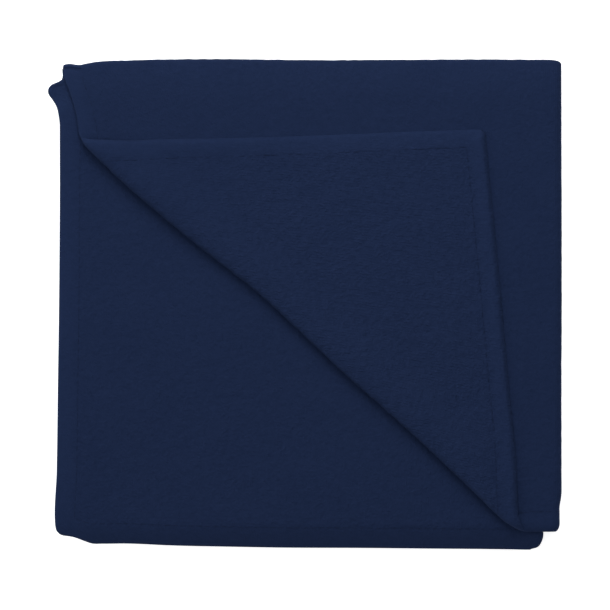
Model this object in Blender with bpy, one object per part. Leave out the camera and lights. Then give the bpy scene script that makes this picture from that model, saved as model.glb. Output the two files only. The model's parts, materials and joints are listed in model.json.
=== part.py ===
"""Quick dry travel towel, 500 x 1000 mm, folded in half three times with the top leaf's corner turned back.

The cloth lies in eight leaves, numbered from the underside up. Fold one runs along the back edge and
joins the leaves in pairs. Fold two, at the left, rolls leaves 1 to 4. Fold three, at the right, lays
leaves 5 to 8 over them and is the last fold made. The free corner of leaf 8 is then turned back over
it along a diagonal. Each leaf, each bend, each turned hem and each seam thread is an object of its own.

Metres, +Z up, +Y to the back. The origin is at the centre of the underside.
"""

import math

import bpy
from mathutils import Vector

# Cloth
PLY = 0.0016
HEM_PLY = 0.0019
HEM_WIDTH = 0.010
THREAD_RADIUS = 0.00025
STITCH_VALLEY = 0.0011
PITCH = 0.0022
GAP = 0.0003
LEAF_COUNT = 8
FIRST_LEVEL_Z = HEM_PLY / 2

# Outline of the packet
HALF_WIDTH = 0.1295
HALF_DEPTH = 0.1261
BACK_BEND_RADIUS = PITCH / 2
BACK_TANGENT_Y = HALF_DEPTH - BACK_BEND_RADIUS - PLY / 2
LEFT_TANGENT_X = -HALF_WIDTH + 1.5 * PITCH + PLY / 2
RIGHT_TANGENT_X = 0.1149
OUTER_WRAP_RADIUS = 3.5 * PITCH
OUTER_WRAP_REACH = HALF_WIDTH - PLY / 2 - OUTER_WRAP_RADIUS - RIGHT_TANGENT_X

# Free edges: the lower half of the cloth's width ends short of the upper half at the front
SHORT_HALF_FRONT_Y = -0.1167
LONG_HALF_FRONT_Y = -HALF_DEPTH
SHORT_HALF_LEAVES = (1, 4, 5, 8)
FREE_LEFT_X = {5: -0.1278, 6: -0.1284, 7: -0.1290}

# Turned corner
DIAGONAL_POINT = Vector((-0.0092, -0.0087))
DIAGONAL_ANGLE = math.radians(-41.3)
TOP_LEAF_LEFT_BACK_X = -0.1279
TOP_LEAF_LEFT_SLANT = 0.19
CORNER_TIP = Vector((0.0920, 0.0913))
CORNER_BACK_EDGE_ANGLE = math.radians(181.3)
CORNER_SIDE_EDGE_ANGLE = math.radians(-85.6)
CORNER_BEND_RADIUS = PITCH / 2

# Fold axes: each lies outside its bends by about half their length, so the cloth opens out unstretched
LAST_FOLD_X = 0.1200
LAST_FOLD_Z = FIRST_LEVEL_Z + 4 * PITCH
CORNER_FOLD_OUTSET = math.pi * CORNER_BEND_RADIUS / 2

# Roundings and their steps
EDGE_ROUNDING = 0.0005
CLOTH_CORNER_RADIUS = 0.004
CORNER_STEPS = 4
SMALL_BEND_STEPS = 8
LARGE_BEND_STEPS = 16

CLOTH_COLOUR = (0.0130, 0.0225, 0.0600, 1.0)
HEM_COLOUR = (0.0160, 0.0265, 0.0680, 1.0)
THREAD_COLOUR = (0.0085, 0.0150, 0.0420, 1.0)


def clear_scene():
    for item in list(bpy.data.objects):
        bpy.data.objects.remove(item)


def make_collection(name):
    collection = bpy.data.collections.new(name)
    bpy.context.scene.collection.children.link(collection)
    return collection


def make_material(name, colour, roughness):
    material = bpy.data.materials.new(name)
    material.use_nodes = True
    shader = material.node_tree.nodes["Principled BSDF"]
    shader.inputs["Base Color"].default_value = colour
    shader.inputs["Roughness"].default_value = roughness
    shader.inputs["Metallic"].default_value = 0.0
    material.diffuse_color = colour
    return material


def make_axis(name, collection, location):
    """An empty on a fold's axis, for the pieces that turn about it."""
    axis = bpy.data.objects.new(name, None)
    axis.location = location
    axis.empty_display_size = HEM_WIDTH
    collection.objects.link(axis)
    return axis


def place(item, collection, location, parent):
    """Puts the object at a world location, under its fold's axis if it has one."""
    collection.objects.link(item)
    item.location = location
    if parent is not None:
        item.parent = parent
        item.location = Vector(location) - parent.location


def level_z(level):
    return FIRST_LEVEL_Z + (level - 1) * PITCH


def meeting(point_a, direction_a, point_b, direction_b):
    """Where two lines in the plane cross."""
    across = direction_a.x * direction_b.y - direction_a.y * direction_b.x
    offset = point_b - point_a
    along = (offset.x * direction_b.y - offset.y * direction_b.x) / across
    return point_a + direction_a * along


def direction_of(angle):
    return Vector((math.cos(angle), math.sin(angle)))


def inset(corners, distances):
    """The outline, counter-clockwise, with each edge moved inwards by its own distance."""
    count = len(corners)
    lines = []
    for index, corner in enumerate(corners):
        direction = (corners[(index + 1) % count] - corner).normalized()
        inward = Vector((-direction.y, direction.x))
        lines.append((corner + inward * distances[index], direction))
    return [meeting(*lines[index - 1], *lines[index]) for index in range(count)]


def rounded(corners, radii):
    """The outline with an arc of the given radius at each corner; a radius of 0 keeps it sharp."""
    outline = []
    count = len(corners)
    for index, corner in enumerate(corners):
        if radii[index] == 0:
            outline.append(corner)
            continue
        before = (corners[index - 1] - corner).normalized()
        after = (corners[(index + 1) % count] - corner).normalized()
        half_angle = before.angle(after) / 2
        centre = corner + (before + after).normalized() * (radii[index] / math.sin(half_angle))
        start = corner + before * (radii[index] / math.tan(half_angle)) - centre
        turn = math.pi - 2 * half_angle
        for step in range(CORNER_STEPS + 1):
            angle = turn * step / CORNER_STEPS
            spun = Vector(
                (
                    start.x * math.cos(angle) - start.y * math.sin(angle),
                    start.x * math.sin(angle) + start.y * math.cos(angle),
                )
            )
            outline.append(centre + spun)
    return outline


def outline_curve(name, outline, half_depth, rounding):
    """A filled 2D curve, extruded both ways, with its rim rounded inside the outline."""
    curve = bpy.data.curves.new(name, "CURVE")
    curve.dimensions = "2D"
    curve.fill_mode = "BOTH"
    curve.extrude = half_depth - rounding
    curve.bevel_depth = rounding
    curve.bevel_resolution = 1
    curve.offset = -rounding
    spline = curve.splines.new("POLY")
    spline.points.add(len(outline) - 1)
    for point, place_at in zip(spline.points, outline):
        point.co = (place_at.x, place_at.y, 0.0, 1.0)
    spline.use_cyclic_u = True
    return curve


def flat_piece(name, corners, z, thickness, material, packet, radii=None):
    """A flat stretch of cloth with its own outline, lying at height z."""
    outline = rounded(corners, radii) if radii else corners
    middle = sum(outline, Vector((0.0, 0.0))) / len(outline)
    local = [point - middle for point in outline]
    curve = outline_curve(name, local, thickness / 2, EDGE_ROUNDING)
    curve.materials.append(material)
    place(bpy.data.objects.new(name, curve), packet[0], (middle.x, middle.y, z), packet[1])


def bend_outline(radius, reach, thickness, steps):
    """The section of a fold: two straight legs of the given reach and a half ring between them."""
    outer = radius + thickness / 2
    inner = radius - thickness / 2
    outline = [Vector((0.0, outer))] if reach > 0 else []
    for step in range(steps + 1):
        angle = math.pi * (0.5 - step / steps)
        outline.append(Vector((reach + outer * math.cos(angle), outer * math.sin(angle))))
    if reach > 0:
        outline.extend([Vector((0.0, -outer)), Vector((0.0, -inner))])
    for step in range(steps + 1):
        angle = math.pi * (step / steps - 0.5)
        outline.append(Vector((reach + inner * math.cos(angle), inner * math.sin(angle))))
    if reach > 0:
        outline.append(Vector((0.0, inner)))
    return outline


def bend_piece(name, section, middle, outward_angle, length, material, packet):
    """A fold: its section stands upright, opens away from outward_angle and runs for length."""
    curve = outline_curve(name, section, length / 2, 0.0)
    curve.materials.append(material)
    fold = bpy.data.objects.new(name, curve)
    fold.rotation_euler = (math.pi / 2, 0.0, outward_angle)
    place(fold, packet[0], middle, packet[1])


def thread_piece(name, start, end, z, material, packet):
    """One straight run of seam thread."""
    middle = (start + end) / 2
    curve = bpy.data.curves.new(name, "CURVE")
    curve.dimensions = "3D"
    curve.bevel_depth = THREAD_RADIUS
    curve.bevel_resolution = 1
    curve.use_fill_caps = True
    curve.materials.append(material)
    spline = curve.splines.new("POLY")
    spline.points.add(1)
    for point, place_at in zip(spline.points, (start, end)):
        point.co = (place_at.x - middle.x, place_at.y - middle.y, 0.0, 1.0)
    place(bpy.data.objects.new(name, curve), packet[0], (middle.x, middle.y, z), packet[1])


def hemmed_leaf(name, corners, hems, z, packet):
    """A leaf whose outline's edges may be hemmed. hems maps an edge's number to its hem's name.

    The cloth stops at the stitch valley. Each hem band runs the length of its edge, and the later of
    two that meet stops at the earlier one's valley.
    """
    count = len(corners)
    stitched = HEM_WIDTH + STITCH_VALLEY
    body = [stitched if edge in hems else 0.0 for edge in range(count)]
    flat_piece(name, inset(corners, body), z, PLY, cloth(name), packet)
    for edge, hem in hems.items():
        before = (edge - 1) % count
        after = (edge + 1) % count
        band = [0.0] * count
        if before in hems and before < edge:
            band[before] = stitched
        if after in hems and after < edge:
            band[after] = stitched
        outer = inset(corners, band)
        band[edge] = HEM_WIDTH
        inner = inset(corners, band)
        outline = [outer[edge], outer[after], inner[after], inner[edge]]
        radii = [0.0] * len(outline)
        if before in hems and before > edge:
            radii[0] = CLOTH_CORNER_RADIUS
        if after in hems and after > edge:
            radii[1] = CLOTH_CORNER_RADIUS
        flat_piece(hem, outline, z, HEM_PLY, hem_cloth(hem), packet, radii)
        seam = [HEM_WIDTH / 2] * count
        seam[edge] = HEM_WIDTH + STITCH_VALLEY / 2
        for side in (before, after):
            if side in hems:
                seam[side] = stitched + GAP if side < edge else 2 * GAP
        line = inset(corners, seam)
        stitch = hem.replace("hem", "stitch")
        thread_piece(stitch, line[edge], line[after], z, thread(stitch), packet)


def cloth(name):
    return make_material(name, CLOTH_COLOUR, 0.92)


def hem_cloth(name):
    return make_material(name, HEM_COLOUR, 0.88)


def thread(name):
    return make_material(name, THREAD_COLOUR, 0.70)


def front_y(level):
    return SHORT_HALF_FRONT_Y if level in SHORT_HALF_LEAVES else LONG_HALF_FRONT_Y


def make_plain_leaf(level, packet):
    """Leaves 1 to 7: a front hem, and a side hem on the leaves whose left edge is the cloth's end."""
    left = FREE_LEFT_X.get(level, LEFT_TANGENT_X + GAP / 2)
    right = RIGHT_TANGENT_X - GAP / 2
    back = BACK_TANGENT_Y - GAP / 2
    corners = [
        Vector((right, back)),
        Vector((left, back)),
        Vector((left, front_y(level))),
        Vector((right, front_y(level))),
    ]
    hems = {2: f"front_hem_{level}"}
    if level in FREE_LEFT_X:
        hems = {1: f"side_hem_{level}", 2: f"front_hem_{level}"}
    hemmed_leaf(f"leaf_{level}", corners, hems, level_z(level), packet)


def make_top_leaf(packet):
    """Leaf 8: its left edge slants inwards and its front corner is cut away by the diagonal."""
    right = RIGHT_TANGENT_X - GAP / 2
    back = BACK_TANGENT_Y - GAP / 2
    diagonal = direction_of(DIAGONAL_ANGLE)
    clear_of_bend = DIAGONAL_POINT + Vector((-diagonal.y, diagonal.x)) * (GAP / 2)
    left_back = Vector((TOP_LEAF_LEFT_BACK_X, back))
    left_edge = Vector((TOP_LEAF_LEFT_SLANT, -1.0)).normalized()
    right_edge = Vector((0.0, 1.0))
    corners = [
        Vector((right, back)),
        left_back,
        meeting(left_back, left_edge, clear_of_bend, diagonal),
        meeting(clear_of_bend, diagonal, Vector((right, 0.0)), right_edge),
    ]
    hemmed_leaf("leaf_8", corners, {1: "side_hem_8"}, level_z(LEAF_COUNT), packet)


def corner_ends():
    """The two points where the turned corner's edges run into the diagonal."""
    diagonal = direction_of(DIAGONAL_ANGLE)
    back_edge = direction_of(CORNER_BACK_EDGE_ANGLE)
    side_edge = direction_of(CORNER_SIDE_EDGE_ANGLE)
    start = meeting(CORNER_TIP, back_edge, DIAGONAL_POINT, diagonal)
    end = meeting(CORNER_TIP, side_edge, DIAGONAL_POINT, diagonal)
    return start, end


def corner_axis_point():
    """The middle of the corner's fold axis, just outside the diagonal and midway up its bend."""
    start, end = corner_ends()
    diagonal = direction_of(DIAGONAL_ANGLE)
    outward = Vector((diagonal.y, -diagonal.x))
    middle = (start + end) / 2 + outward * CORNER_FOLD_OUTSET
    return (middle.x, middle.y, (level_z(LEAF_COUNT) + level_z(LEAF_COUNT + 1)) / 2)


def make_turned_corner(packet):
    """The corner lies face down on leaf 8, with the cloth's two hems on its free edges."""
    start, end = corner_ends()
    diagonal = direction_of(DIAGONAL_ANGLE)
    inward = Vector((-diagonal.y, diagonal.x)) * (GAP / 2)
    back_edge = direction_of(CORNER_BACK_EDGE_ANGLE)
    side_edge = direction_of(CORNER_SIDE_EDGE_ANGLE)
    corners = [
        CORNER_TIP,
        meeting(CORNER_TIP, back_edge, start + inward, diagonal),
        meeting(CORNER_TIP, side_edge, end + inward, diagonal),
    ]
    hems = {0: "corner_hem_back", 2: "corner_hem_side"}
    hemmed_leaf("turned_corner", corners, hems, level_z(LEAF_COUNT + 1), packet)


def make_corner_bend(packet):
    """The soft bend between leaf 8 and its turned corner."""
    start, end = corner_ends()
    middle = (start + end) / 2
    outward = DIAGONAL_ANGLE - math.pi / 2
    length = (end - start).length - HEM_WIDTH / 2
    z = (level_z(LEAF_COUNT) + level_z(LEAF_COUNT + 1)) / 2
    section = bend_outline(CORNER_BEND_RADIUS, 0.0, PLY, SMALL_BEND_STEPS)
    name = "corner_bend"
    bend_piece(name, section, (middle.x, middle.y, z), outward, length, cloth(name), packet)


def make_back_fold(low, high, packet):
    """Fold one: joins two neighbouring leaves along the back edge."""
    left = max(FREE_LEFT_X.get(low, LEFT_TANGENT_X), LEFT_TANGENT_X)
    middle = ((left + RIGHT_TANGENT_X) / 2, BACK_TANGENT_Y, (level_z(low) + level_z(high)) / 2)
    section = bend_outline(BACK_BEND_RADIUS, 0.0, PLY, SMALL_BEND_STEPS)
    name = f"back_fold_{low}_{high}"
    length = RIGHT_TANGENT_X - left
    bend_piece(name, section, middle, math.pi / 2, length, cloth(name), packet)


def make_side_fold(side, low, high, reach, packet):
    """Folds two and three: a bend along the left or right edge, with its own turned hem in front."""
    radius = (high - low) * PITCH / 2
    steps = LARGE_BEND_STEPS if radius > PITCH else SMALL_BEND_STEPS
    z = (level_z(low) + level_z(high)) / 2
    x = RIGHT_TANGENT_X if side == "right" else LEFT_TANGENT_X
    outward = 0.0 if side == "right" else math.pi
    front = max(front_y(low), front_y(high))
    hem_back = front + HEM_WIDTH
    cloth_front = hem_back + STITCH_VALLEY
    cloth_back = BACK_TANGENT_Y - GAP / 2
    name = f"{side}_fold_{low}_{high}"
    section = bend_outline(radius, reach, PLY, steps)
    middle = (x, (cloth_front + cloth_back) / 2, z)
    bend_piece(name, section, middle, outward, cloth_back - cloth_front, cloth(name), packet)
    name = f"{side}_fold_hem_{low}_{high}"
    section = bend_outline(radius, reach, HEM_PLY, steps)
    middle = (x, (front + hem_back) / 2, z)
    bend_piece(name, section, middle, outward, HEM_WIDTH, hem_cloth(name), packet)


def main():
    clear_scene()
    collection = make_collection("quick_dry_towel")
    last_fold_axis = make_axis("last_fold_axis", collection, (LAST_FOLD_X, 0.0, LAST_FOLD_Z))
    corner_fold_axis = make_axis("corner_fold_axis", collection, corner_axis_point())
    lower = (collection, None)
    upper = (collection, last_fold_axis)
    corner = (collection, corner_fold_axis)

    for level in range(1, LEAF_COUNT):
        make_plain_leaf(level, lower if level <= LEAF_COUNT // 2 else upper)
    make_top_leaf(upper)
    make_back_fold(1, 2, lower)
    make_back_fold(3, 4, lower)
    make_back_fold(5, 6, upper)
    make_back_fold(7, 8, upper)
    make_side_fold("left", 1, 4, 0.0, lower)
    make_side_fold("left", 2, 3, 0.0, lower)
    make_side_fold("right", 1, 8, OUTER_WRAP_REACH, lower)
    make_side_fold("right", 2, 7, 0.0, lower)
    make_side_fold("right", 3, 6, 0.0, lower)
    make_side_fold("right", 4, 5, 0.0, lower)
    make_corner_bend(upper)
    make_turned_corner(corner)


main()
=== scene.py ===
import json
import math

import bmesh
import bpy
import numpy as np
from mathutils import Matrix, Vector


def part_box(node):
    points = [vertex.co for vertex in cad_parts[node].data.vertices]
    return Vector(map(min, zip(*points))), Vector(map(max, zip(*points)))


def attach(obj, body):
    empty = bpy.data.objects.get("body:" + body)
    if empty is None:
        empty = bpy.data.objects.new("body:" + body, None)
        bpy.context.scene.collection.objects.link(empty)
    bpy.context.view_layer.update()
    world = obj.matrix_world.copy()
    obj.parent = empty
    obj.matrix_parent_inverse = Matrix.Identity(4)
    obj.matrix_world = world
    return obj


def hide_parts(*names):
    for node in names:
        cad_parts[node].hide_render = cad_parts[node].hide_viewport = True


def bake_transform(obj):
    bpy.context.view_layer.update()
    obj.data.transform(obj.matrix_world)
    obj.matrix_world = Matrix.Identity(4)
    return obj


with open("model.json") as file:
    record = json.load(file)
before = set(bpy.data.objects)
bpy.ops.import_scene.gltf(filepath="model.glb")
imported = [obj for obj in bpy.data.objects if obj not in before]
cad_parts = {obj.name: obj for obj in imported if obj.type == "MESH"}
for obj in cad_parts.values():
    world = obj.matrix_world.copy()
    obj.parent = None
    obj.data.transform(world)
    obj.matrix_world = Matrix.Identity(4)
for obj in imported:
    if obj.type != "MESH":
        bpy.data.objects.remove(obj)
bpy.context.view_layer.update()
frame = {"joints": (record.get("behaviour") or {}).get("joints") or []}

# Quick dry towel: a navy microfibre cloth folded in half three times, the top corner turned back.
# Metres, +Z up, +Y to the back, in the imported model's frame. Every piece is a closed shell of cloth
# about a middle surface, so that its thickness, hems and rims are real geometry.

MM = 0.001

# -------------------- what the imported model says


def box_middle_z(node):
    low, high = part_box(node)
    return (low.z + high.z) / 2


def joint_named(name):
    return next(joint for joint in frame["joints"] if joint["name"] == name)


LEVEL_Z = {level: box_middle_z(f"leaf_{level}") for level in range(1, 9)}
MIDDLE_Z = (LEVEL_Z[4] + LEVEL_Z[5]) / 2
PITCH = (LEVEL_Z[8] - LEVEL_Z[1]) / 7
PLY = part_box("leaf_1")[1].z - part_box("leaf_1")[0].z
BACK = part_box("leaf_1")[1].y
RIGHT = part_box("leaf_1")[1].x
BACK_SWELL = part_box("back_fold_5_6")[1].y - BACK - PLY / 2
LEFT_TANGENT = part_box("leaf_1")[0].x
OUTER_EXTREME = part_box("right_fold_1_8")[1].x - PLY / 2
SHORT_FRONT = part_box("front_hem_1")[0].y
FREE_LEFT = {level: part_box(f"side_hem_{level}")[0].x for level in (5, 6)}
HEM_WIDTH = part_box("front_hem_1")[1].y - SHORT_FRONT

# The turned corner's straight fold line, in plan
corner_joint = joint_named("corner_fold")
ALONG = np.array(corner_joint["axis"][:2])
OUTWARD = np.array([ALONG[1], -ALONG[0]])
NOMINAL_ARC = math.pi * PITCH / 2
FOLD_POINT = np.array(corner_joint["pos_m"][:2]) - OUTWARD * NOMINAL_ARC / 2

# -------------------- the cloth

# A free edge: its rounded rim, where its stitches run, the valley they press, and its rounded corners
RIM = 2.0 * MM
SEAM_AT = HEM_WIDTH + 0.4 * MM
SEAM_VALLEY = 0.03 * MM
SEAM_SOFTNESS = 1.2 * MM
CORNER_ROUND = 4.0 * MM

# What a hem adds to half the cloth's thickness: on a hidden face, on leaf 7's upper face, and on the
# top leaf's upper and lower faces
HIDDEN_HEM = 0.10 * MM
SEVENTH_HEM = 0.16 * MM
TOP_HEM = 0.22 * MM
TOP_HEM_BELOW = 0.02 * MM

# How far the pile's lumps stand out, on a face that shows, on the turned corner's loftier one, and
# where the cloth is hardly seen or not at all; and the lumps' two sizes
SHOWN_PILE = 0.085 * MM
LOFTY_PILE = 0.150 * MM
SIDE_PILE = 0.05 * MM
UNDERSIDE_PILE = 0.015 * MM
HIDDEN_PILE = 0.010 * MM
FINE_LUMP = 1.9 * MM
WIDE_LUMP = 3.6 * MM

# The last fold. Its inner wrap takes over from the inner layers at INNER_CUT. Its outer wrap is
# squarer than a half circle
INNER_CUT = 0.105
INNER_WRAP_LENGTH = 0.030
WRAP_EASE = 2.4 * MM
SQUARENESS = 0.32
OUTER_RADIUS = (LEVEL_Z[8] - LEVEL_Z[1]) / 2
OUTER_REACH = OUTER_EXTREME - OUTER_RADIUS - RIGHT + WRAP_EASE
OUTER_WRAP_POINTS = 44
INNER_WRAP_POINTS = 34

# The flat top leaf's size, and where some left and front edges are on the cloth
TOP_WIDTH = 0.2424
TOP_DEPTH = 0.2476
TOP_LEFT = -0.1277
SEVENTH_LEFT = -0.129
SEVENTH_FRONT = -0.124
MIDDLE_LEFT = -0.1

# Shifts on the cloth, so that leaf 7 and a leaf's other face have lumps of their own
SEVENTH_SHIFT = 1.0
OTHER_FACE = 3.0

# The turned corner: how high it lies above leaf 8's own level, and how wide its rim's slopes are, the
# gentle one along its back hem and the steep one along its side hem
CORNER_LIFT = 1.74 * MM
BACK_RAMP = 9.5 * MM
SIDE_RAMP = 2.6 * MM


def in_metres(values):
    return np.array(values) * MM


# Outlines of the visible leaves and of the long layers under them, given in millimetres
LEFT_OF_TOP = in_metres([
    (-97.7, -124.5), (-119.6, 80.0), (-122.2, 96.0), (-125.3, 109.1), (-127.6, 117.5), (-127.7, 123.0),
])
FRONT_OF_TOP = in_metres([(-97.7, -124.5), (-35.1, -122.4), (32.7, -119.8), (75.0, -118.6), (114.7, -117.6)])
LEFT_OF_SEVENTH = in_metres([
    (-130.7, -119.4), (-131.2, -115.7), (-130.6, -85.5), (-129.6, -10.0), (-129.0, 60.0), (-128.8, 86.0),
    (-129.4, 98.0), (-130.6, 103.2), (-133.0, 107.2), (-134.9, 109.8), (-135.2, 112.2), (-134.0, 114.3),
    (-131.2, 115.6), (-128.0, 117.4), (-127.7, 123.0),
])
FRONT_OF_LONG = in_metres([
    (-130.7, -119.4), (-121.5, -120.6), (-116.6, -122.4), (-112.2, -123.9), (-106.8, -124.0), (-95.0, -123.9),
    (-72.0, -124.9), (-30.0, -125.8), (32.0, -126.2), (74.0, -126.7), (114.7, -127.2),
])
BACK_OF_TOP = in_metres([
    (-127.7, 123.0), (-124.5, 123.4), (-119.0, 122.9), (-114.5, 123.8), (-109.0, 124.7), (-95.0, 125.3),
    (20.0, 125.6), (90.0, 125.8), (114.7, 125.7),
])

# The roll along the diagonal, at these distances from the diagonal's middle: how far out its edge
# lies, the radius it turns up with, the height it rises to, and how far in from its edge that is
ROLL_AT = in_metres([-158, -140, -122, -97, -62, -28, 0, 31, 61, 92, 123, 150, 180])
ROLL_EDGE = in_metres([0.0, 1.6, 2.8, 2.8, 1.6, -0.3, 0.3, 1.4, 1.6, 2.1, 3.5, 4.8, 4.8])
ROLL_RADIUS = in_metres([2.3, 2.4, 2.6, 2.5, 2.1, 1.7, 1.8, 2.0, 2.1, 2.2, 2.1, 1.9, 1.6])
ROLL_HEIGHT = in_metres([4.8, 5.2, 5.3, 5.1, 4.6, 4.2, 4.2, 4.4, 4.5, 4.6, 4.5, 4.0, 3.6])
ROLL_REACH = in_metres([4.0, 4.2, 4.5, 5.5, 6.5, 7.5, 8.0, 8.0, 8.0, 7.5, 6.5, 5.0, 4.0])

# The length of cloth in the roll, and the height of its free ends, at the right and at the upper left
ROLL = 30 * MM
LOW_END = 2.9 * MM
RAISED_END = 5.0 * MM

# The packet is thinner at its edges than in its middle by these shares, and its lower half by only
# a part of them
THIN_BACK = 0.33
THIN_FRONT = 0.80
THIN_LEFT = 0.20
THIN_BELOW = 0.4

# The stepped right front corner, in millimetres: how far each step is drawn in, over which distances
# to the right, and over which distances to the front
FRONT_STEPS = [
    (1.0, (116, 126), (98, 105)),
    (2.2, (108, 118), (119.5, 127.5)),
    (1.2, (122, 130), (113.5, 118.5)),
]


def smooth(value, start, end):
    """0 before start, 1 after end, with an easy turn between."""
    share = np.clip((value - start) / (end - start), 0, 1)
    return share * share * (3 - 2 * share)


def eased(knots, values, at):
    """A smooth curve through the values, with no corner at its knots."""
    knots = np.asarray(knots, float)
    values = np.asarray(values, float)
    slopes = np.gradient(values, knots)
    at = np.clip(at, knots[0], knots[-1])
    index = np.clip(np.searchsorted(knots, at) - 1, 0, len(knots) - 2)
    width = knots[index + 1] - knots[index]
    share = (at - knots[index]) / width
    rest = 1 - share
    return (
        values[index] * rest * rest * (1 + 2 * share)
        + values[index + 1] * share * share * (1 + 2 * rest)
        + width * share * rest * (slopes[index] * rest - slopes[index + 1] * share)
    )


def line_y(line, x):
    """The y of a line that runs from left to right."""
    return eased(line[:, 0], line[:, 1], x)


def line_x(line, y):
    """The x of a line that runs from front to back."""
    return eased(line[:, 1], line[:, 0], y)


def edge_curve(points, share):
    """Points at these shares of the length of a smooth edge."""
    steps = np.linalg.norm(np.diff(points, axis=0), axis=1)
    knots = np.concatenate([[0], np.cumsum(steps)]) / steps.sum()
    return np.stack([eased(knots, points[:, 0], share), eased(knots, points[:, 1], share)], axis=-1)


def nearest(values, wanted):
    return np.abs(values - wanted).argmin()


FIELD_CELLS = 128
FIELD_OFFSET = 5 * FIELD_CELLS


def field(x, y, size, seed):
    """Smooth noise between -1 and 1 with lumps of the given size."""
    table = np.random.default_rng(seed).uniform(-1, 1, (FIELD_CELLS, FIELD_CELLS))
    grid_x = np.asarray(x) / size + FIELD_OFFSET
    grid_y = np.asarray(y) / size + FIELD_OFFSET
    cell_x = np.floor(grid_x).astype(int)
    cell_y = np.floor(grid_y).astype(int)
    share_x = smooth(grid_x - cell_x, 0, 1)
    share_y = smooth(grid_y - cell_y, 0, 1)

    def corner(step_x, step_y):
        return table[(cell_x + step_x) % FIELD_CELLS, (cell_y + step_y) % FIELD_CELLS]

    near = corner(0, 0) * (1 - share_x) + corner(1, 0) * share_x
    far = corner(0, 1) * (1 - share_x) + corner(1, 1) * share_x
    return near * (1 - share_y) + far * share_y


# Distances from a free edge, close together on its rim and about its seam
HEM_STATIONS = np.concatenate([
    in_metres([0, 0.06, 0.25, 0.55, 1.0, 1.5, 2.0]),
    np.linspace(3.0 * MM, HEM_WIDTH - 1.6 * MM, 5),
    np.arange(HEM_WIDTH - 1.0 * MM, HEM_WIDTH + 2.4 * MM, 0.48 * MM),
])


def stations(length, spacing, free_start=False, free_end=False):
    """Distances along a stretch of cloth, close together over the hem at a free end."""
    start = HEM_STATIONS if free_start else np.array([0.0])
    end = length - HEM_STATIONS[::-1] if free_end else np.array([length])
    count = max(2, round((end[0] - start[-1]) / spacing))
    middle = np.linspace(start[-1], end[0], count + 1)[1:-1]
    return np.concatenate([start, middle, end])


def cloth_halves(edge, hem_extra, pile, at):
    """Half the cloth's thickness at a distance from its nearest free edge, and how far it is in the hem."""
    in_hem = 1 - smooth(edge, HEM_WIDTH - 5.5 * MM, HEM_WIDTH + 2.5 * MM)
    half = PLY / 2 + hem_extra * in_hem
    half -= SEAM_VALLEY * np.exp(-(((edge - SEAM_AT) / SEAM_SOFTNESS) ** 2))
    fine_lumps = field(at[:, 0], at[:, 1], FINE_LUMP, seed=11)
    wide_lumps = field(at[:, 0], at[:, 1], WIDE_LUMP, seed=12)
    half += pile * (fine_lumps + 0.9 * wide_lumps) * (1 - 0.5 * in_hem)
    share = np.clip(edge / RIM, 0, 1)
    return half * np.sqrt(share * (2 - share)), in_hem


def round_corner(u, v, radius):
    """Distances from two edges, drawn in so that the corner between them is round."""
    a = 1 - np.clip(u / radius, 0, 1)
    b = 1 - np.clip(v / radius, 0, 1)
    new_u = np.where(u < radius, radius * (1 - a * np.sqrt(1 - b * b / 2)), u)
    new_v = np.where(v < radius, radius * (1 - b * np.sqrt(1 - a * a / 2)), v)
    return new_u, new_v


def loosen(points):
    """The packet's own shape: thinner edges, none of them quite straight, and a stepped front corner."""
    x, y, z = points[:, 0], points[:, 1], points[:, 2]
    moved = points.copy()
    near_back = np.clip((y - 105 * MM) / (21 * MM), 0, 1.1)
    near_front = np.clip((-y - 113 * MM) / (13 * MM), 0, 1.1)
    near_left = np.clip((-x - 110 * MM) / (20 * MM), 0, 1.1)
    thin = THIN_BACK * near_back**2 + THIN_FRONT * near_front**1.7 + THIN_LEFT * near_left**2
    thin = np.where(z > MIDDLE_Z, thin, THIN_BELOW * thin)
    moved[:, 2] = MIDDLE_Z + (z - MIDDLE_Z) * (1 - thin)
    height = z / LEVEL_Z[8]
    sway = 0.4 + 0.6 * height
    moved[:, 0] += 0.22 * MM * field(y, z, 41 * MM, seed=23) * sway
    for depth, (x_start, x_end), (front_start, front_end) in FRONT_STEPS:
        to_right = smooth(x, x_start * MM, x_end * MM)
        to_front = smooth(-y, front_start * MM, front_end * MM)
        moved[:, 0] -= depth * MM * to_right * to_front
    moved[:, 1] += 0.20 * MM * field(x, z, 47 * MM, seed=24) * sway
    return moved


def link_piece(name, mesh, material):
    mesh.materials.append(material)
    piece = bpy.data.objects.new(name, mesh)
    bpy.context.scene.collection.objects.link(piece)
    return piece


def open_edges(faces):
    """The edges that only one face has, each in that face's direction."""
    seen = {}
    for face in faces:
        for index, corner in enumerate(face):
            following = face[(index + 1) % len(face)]
            if (following, corner) in seen:
                del seen[(following, corner)]
            else:
                seen[(corner, following)] = True
    return list(seen)


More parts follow.
